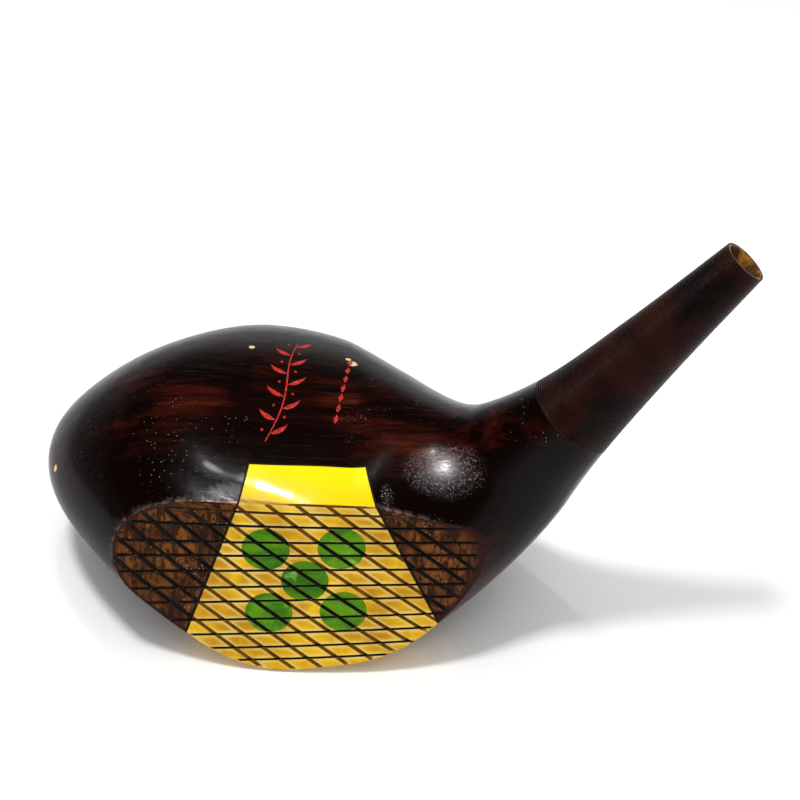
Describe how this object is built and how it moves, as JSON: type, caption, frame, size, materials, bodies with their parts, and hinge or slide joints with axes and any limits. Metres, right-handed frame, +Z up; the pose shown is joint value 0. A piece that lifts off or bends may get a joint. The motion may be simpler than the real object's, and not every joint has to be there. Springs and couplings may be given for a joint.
{
  "type": "golf driver head",
  "caption": "Right-handed wooden golf driver head with a keystone face insert, dowel pegs, scored face, thread-wound neck open for a shaft, and a screwed sole plate.",
  "frame": {"origin": "on the flat of the sole plate, under the middle of the face", "axes": "+X from toe to heel, +Y from the face to the back, +Z up with the club soled"},
  "size_m": [0.1473, 0.0864, 0.0999],
  "materials": {
    "lacquered_wood": "dark mahogany lacquer, worn",
    "insert_yellow": "polished, scored on the face",
    "peg_green": "polished",
    "bedding_black": "matte",
    "whipping_thread": "lacquered thread",
    "sole_metal": "brushed, scuffed",
    "screw_brass": "dull",
    "weight_lead": "dull grey"
  },
  "bodies": {
    "root": {"head_body": "lacquered_wood", "face_insert": "insert_yellow", "insert_bedding": "bedding_black", "peg_upper_toe": "peg_green", "peg_upper_heel": "peg_green", "peg_middle": "peg_green", "peg_lower_toe": "peg_green", "peg_lower_heel": "peg_green", "neck_whipping": "whipping_thread", "sole_plate": "sole_metal", "sole_weight": "weight_lead", "screw_front_toe": "screw_brass", "screw_front_heel": "screw_brass", "screw_back_toe": "screw_brass", "screw_back_heel": "screw_brass", "screw_tail": "screw_brass"}
  },
  "joints": []
}
